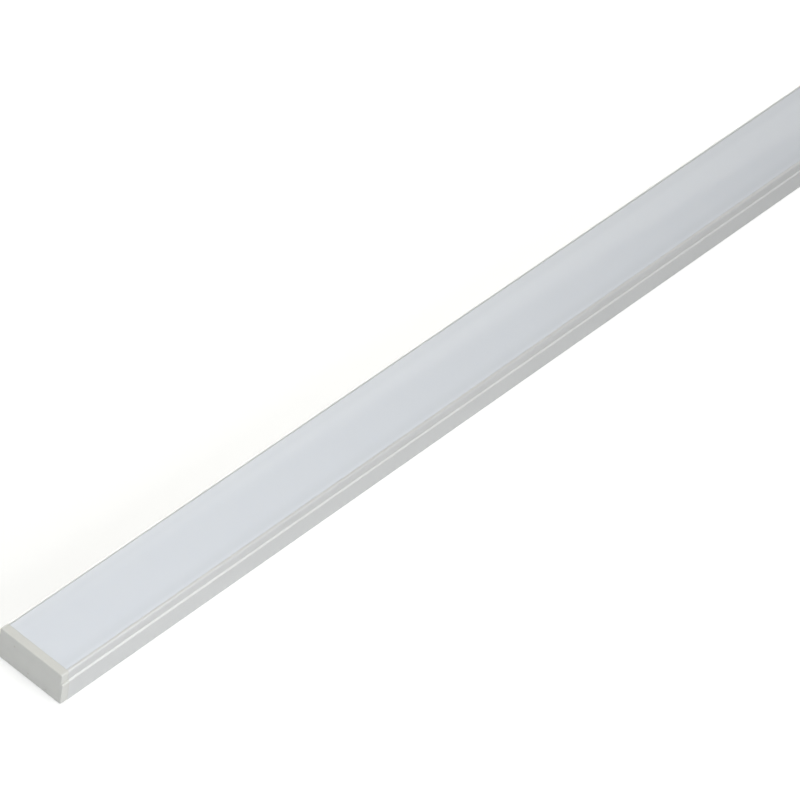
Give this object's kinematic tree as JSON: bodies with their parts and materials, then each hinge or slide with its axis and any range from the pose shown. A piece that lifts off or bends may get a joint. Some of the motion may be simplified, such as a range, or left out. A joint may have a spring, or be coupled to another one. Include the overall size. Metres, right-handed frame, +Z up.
{
  "type": "led strip aluminium profile",
  "caption": "Slim surface-mounted aluminium channel for LED strip with a flush opal snap-in cover, push-fit end caps and a strip laid on its bed.",
  "frame": {"origin": "middle of the profile's flat underside, halfway between the outer faces of the two end caps", "axes": "+X along the profile towards the cap with the cable hole, +Y across it, +Z up out of the light-emitting cover"},
  "size_m": [0.5038, 0.017, 0.0075],
  "materials": {
    "anodised_aluminium": "satin silver anodised",
    "opal_cover": "satin opal",
    "cap_plastic": "fine matt moulded",
    "adhesive_tape": "matt",
    "flexible_board": "white solder mask",
    "led_package": "white package with yellow phosphor",
    "resistor_body": "black body with tinned ends"
  },
  "bodies": {
    "profile": {"aluminium_profile": "anodised_aluminium", "diffuser_cover": "opal_cover", "strip_tape": "adhesive_tape", "strip_board": "flexible_board", "led_01": "led_package", "led_02": "led_package", "led_03": "led_package", "led_04": "led_package", "led_05": "led_package", "led_06": "led_package", "led_07": "led_package", "led_08": "led_package", "led_09": "led_package", "led_10": "led_package", "led_11": "led_package", "led_12": "led_package", "led_13": "led_package", "led_14": "led_package", "led_15": "led_package", "led_16": "led_package", "led_17": "led_package", "led_18": "led_package", "led_19": "led_package", "led_20": "led_package", "led_21": "led_package", "led_22": "led_package", "led_23": "led_package", "led_24": "led_package", "led_25": "led_package", "led_26": "led_package", "led_27": "led_package", "resistor_01": "resistor_body", "resistor_02": "resistor_body", "resistor_03": "resistor_body", "resistor_04": "resistor_body", "resistor_05": "resistor_body", "resistor_06": "resistor_body", "resistor_07": "resistor_body", "resistor_08": "resistor_body", "resistor_09": "resistor_body"},
    "closed_cap": {"end_cap_closed": "cap_plastic"},
    "cable_cap": {"end_cap_cable": "cap_plastic"}
  },
  "joints": [
    {"name": "closed_cap_pull", "type": "slide", "parent": "profile", "child": "closed_cap", "axis": [-1, 0, 0], "range_m": [0, 0.012]},
    {"name": "cable_cap_pull", "type": "slide", "parent": "profile", "child": "cable_cap", "axis": [1, 0, 0], "range_m": [0, 0.012]}
  ]
}
